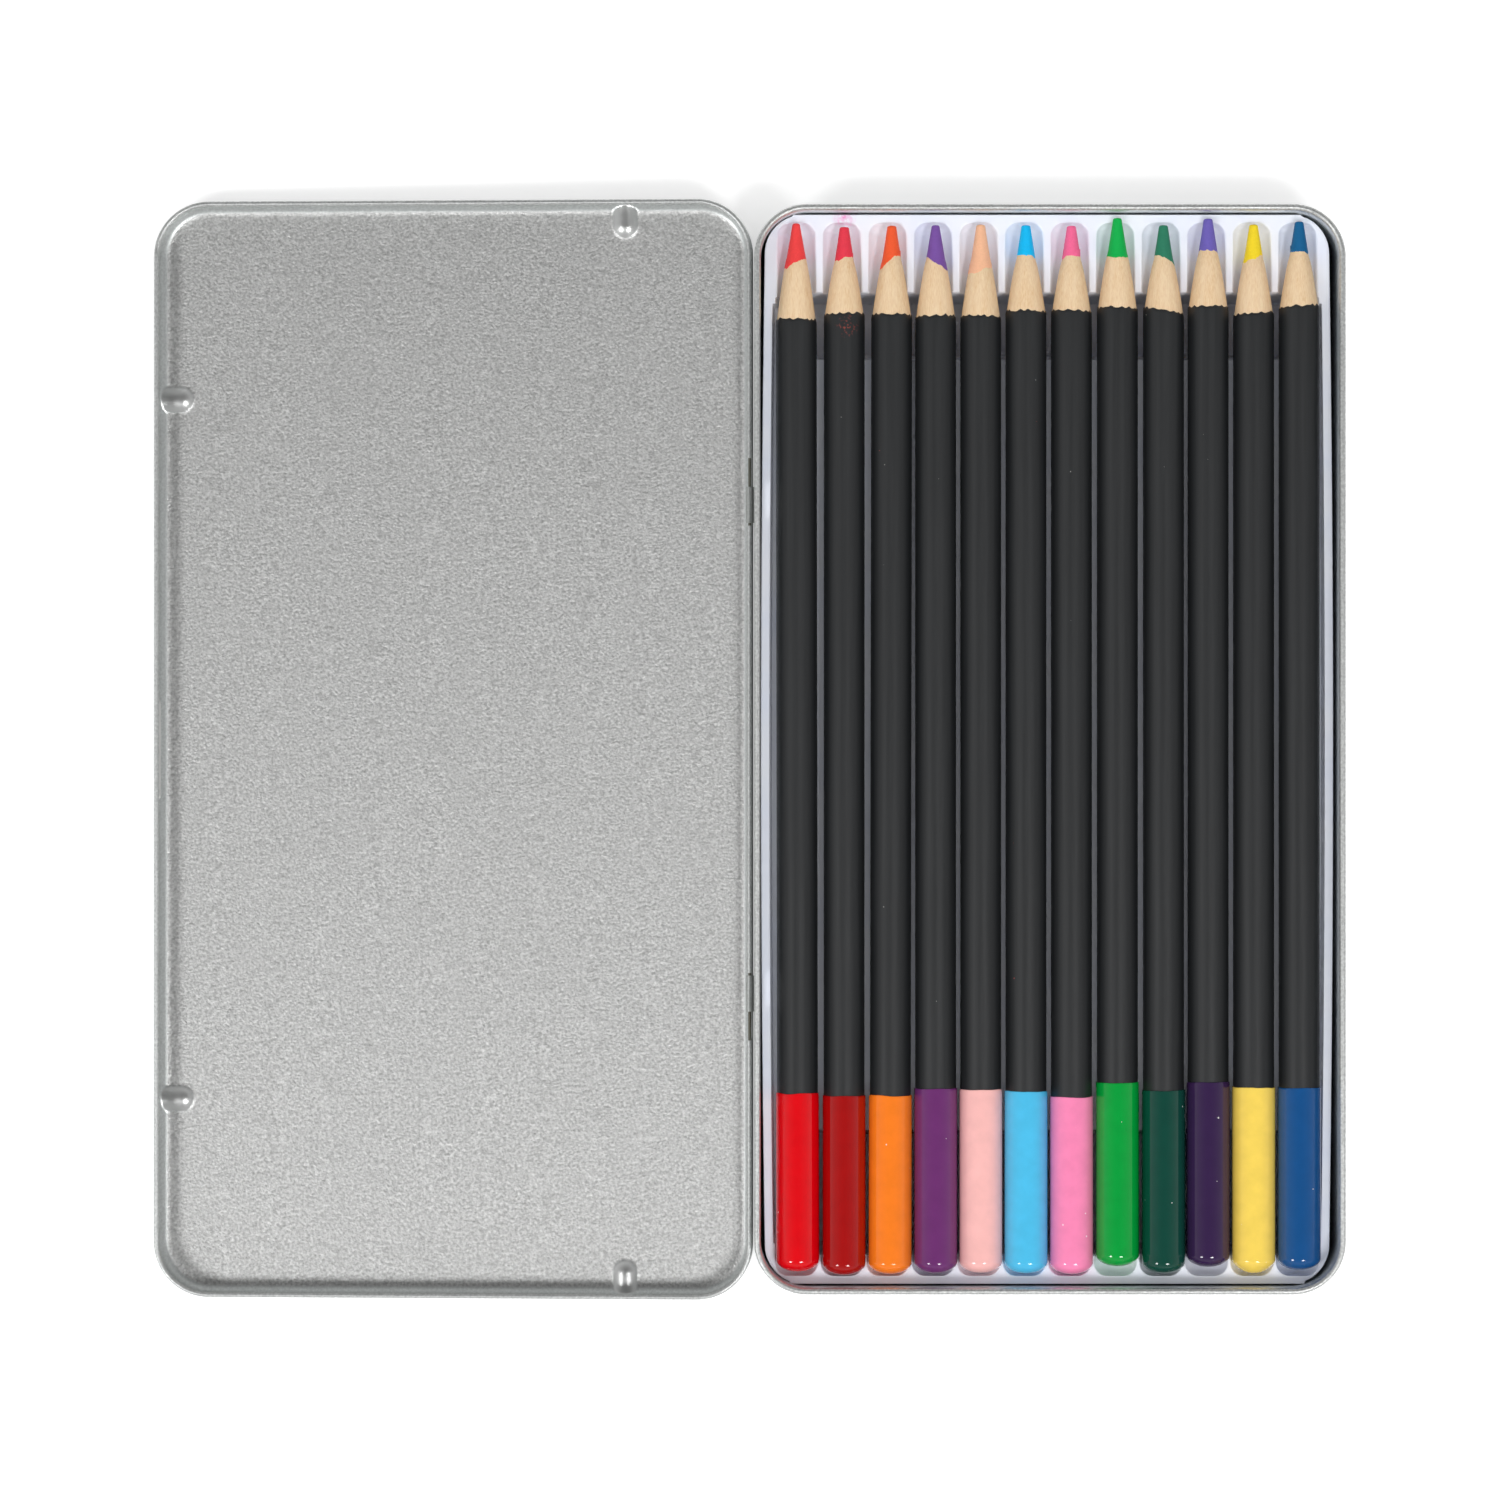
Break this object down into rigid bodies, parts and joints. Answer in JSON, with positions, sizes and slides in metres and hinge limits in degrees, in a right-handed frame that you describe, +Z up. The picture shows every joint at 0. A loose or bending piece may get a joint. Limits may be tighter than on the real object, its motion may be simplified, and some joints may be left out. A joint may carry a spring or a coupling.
{
  "type": "pencil tin",
  "caption": "Flat hinged tinplate tin lying open, with round coloured pencils in a white formed tray; the lid turns shut over the rolled rim.",
  "frame": {"origin": "middle of the base's flat underside", "axes": "+X away from the hinge line, across the pencils; +Y along the pencils towards their points; +Z up"},
  "size_m": [0.2015, 0.186, 0.0136],
  "materials": {
    "tinplate": "matt silver lacquered tinplate with a fine sandy grain; walls and rolled edges smoother",
    "tray_plastic": "glossy white vacuum-formed sheet, very slightly lavender",
    "wood": "pale sharpened wood with fine lengthwise grain",
    "black_lacquer": "satin black lacquer",
    "core_01": "waxy pigment core",
    "dip_01": "thick glossy dipped lacquer",
    "core_02": "waxy pigment core",
    "dip_02": "thick glossy dipped lacquer",
    "core_03": "waxy pigment core",
    "dip_03": "thick glossy dipped lacquer",
    "core_04": "waxy pigment core",
    "dip_04": "thick glossy dipped lacquer",
    "core_05": "waxy pigment core",
    "dip_05": "thick glossy dipped lacquer",
    "core_06": "waxy pigment core",
    "dip_06": "thick glossy dipped lacquer",
    "core_07": "waxy pigment core",
    "dip_07": "thick glossy dipped lacquer",
    "core_08": "waxy pigment core",
    "dip_08": "thick glossy dipped lacquer",
    "core_09": "waxy pigment core",
    "dip_09": "thick glossy dipped lacquer",
    "core_10": "waxy pigment core",
    "dip_10": "thick glossy dipped lacquer",
    "core_11": "waxy pigment core",
    "dip_11": "thick glossy dipped lacquer",
    "core_12": "waxy pigment core",
    "dip_12": "thick glossy dipped lacquer"
  },
  "bodies": {
    "base": {"base_shell": "tinplate"},
    "lid": {"lid_shell": "tinplate"},
    "tray": {"pencil_tray": "tray_plastic"},
    "pencil_01": {"pencil_01_lead": "core_01", "pencil_01_casing": "wood", "pencil_01_lacquer": "black_lacquer", "pencil_01_cap": "dip_01"},
    "pencil_02": {"pencil_02_lead": "core_02", "pencil_02_casing": "wood", "pencil_02_lacquer": "black_lacquer", "pencil_02_cap": "dip_02"},
    "pencil_03": {"pencil_03_lead": "core_03", "pencil_03_casing": "wood", "pencil_03_lacquer": "black_lacquer", "pencil_03_cap": "dip_03"},
    "pencil_04": {"pencil_04_lead": "core_04", "pencil_04_casing": "wood", "pencil_04_lacquer": "black_lacquer", "pencil_04_cap": "dip_04"},
    "pencil_05": {"pencil_05_lead": "core_05", "pencil_05_casing": "wood", "pencil_05_lacquer": "black_lacquer", "pencil_05_cap": "dip_05"},
    "pencil_06": {"pencil_06_lead": "core_06", "pencil_06_casing": "wood", "pencil_06_lacquer": "black_lacquer", "pencil_06_cap": "dip_06"},
    "pencil_07": {"pencil_07_lead": "core_07", "pencil_07_casing": "wood", "pencil_07_lacquer": "black_lacquer", "pencil_07_cap": "dip_07"},
    "pencil_08": {"pencil_08_lead": "core_08", "pencil_08_casing": "wood", "pencil_08_lacquer": "black_lacquer", "pencil_08_cap": "dip_08"},
    "pencil_09": {"pencil_09_lead": "core_09", "pencil_09_casing": "wood", "pencil_09_lacquer": "black_lacquer", "pencil_09_cap": "dip_09"},
    "pencil_10": {"pencil_10_lead": "core_10", "pencil_10_casing": "wood", "pencil_10_lacquer": "black_lacquer", "pencil_10_cap": "dip_10"},
    "pencil_11": {"pencil_11_lead": "core_11", "pencil_11_casing": "wood", "pencil_11_lacquer": "black_lacquer", "pencil_11_cap": "dip_11"},
    "pencil_12": {"pencil_12_lead": "core_12", "pencil_12_casing": "wood", "pencil_12_lacquer": "black_lacquer", "pencil_12_cap": "dip_12"}
  },
  "joints": [
    {"name": "lid_hinge", "type": "hinge", "parent": "base", "child": "lid", "pos_m": [-0.05055, 0, 0.0102], "axis": [0, -1, 0], "range_deg": [-183.13, 0]},
    {"name": "tray_lift", "type": "slide", "parent": "base", "child": "tray", "axis": [0, 0, 1], "range_m": [0, 0.02]},
    {"name": "pencil_01_lift", "type": "slide", "parent": "tray", "child": "pencil_01", "axis": [0, 0, 1], "range_m": [0, 0.02]},
    {"name": "pencil_02_lift", "type": "slide", "parent": "tray", "child": "pencil_02", "axis": [0, 0, 1], "range_m": [0, 0.02]},
    {"name": "pencil_03_lift", "type": "slide", "parent": "tray", "child": "pencil_03", "axis": [0, 0, 1], "range_m": [0, 0.02]},
    {"name": "pencil_04_lift", "type": "slide", "parent": "tray", "child": "pencil_04", "axis": [0, 0, 1], "range_m": [0, 0.02]},
    {"name": "pencil_05_lift", "type": "slide", "parent": "tray", "child": "pencil_05", "axis": [0, 0, 1], "range_m": [0, 0.02]},
    {"name": "pencil_06_lift", "type": "slide", "parent": "tray", "child": "pencil_06", "axis": [0, 0, 1], "range_m": [0, 0.02]},
    {"name": "pencil_07_lift", "type": "slide", "parent": "tray", "child": "pencil_07", "axis": [0, 0, 1], "range_m": [0, 0.02]},
    {"name": "pencil_08_lift", "type": "slide", "parent": "tray", "child": "pencil_08", "axis": [0, 0, 1], "range_m": [0, 0.02]},
    {"name": "pencil_09_lift", "type": "slide", "parent": "tray", "child": "pencil_09", "axis": [0, 0, 1], "range_m": [0, 0.02]},
    {"name": "pencil_10_lift", "type": "slide", "parent": "tray", "child": "pencil_10", "axis": [0, 0, 1], "range_m": [0, 0.02]},
    {"name": "pencil_11_lift", "type": "slide", "parent": "tray", "child": "pencil_11", "axis": [0, 0, 1], "range_m": [0, 0.02]},
    {"name": "pencil_12_lift", "type": "slide", "parent": "tray", "child": "pencil_12", "axis": [0, 0, 1], "range_m": [0, 0.02]}
  ]
}
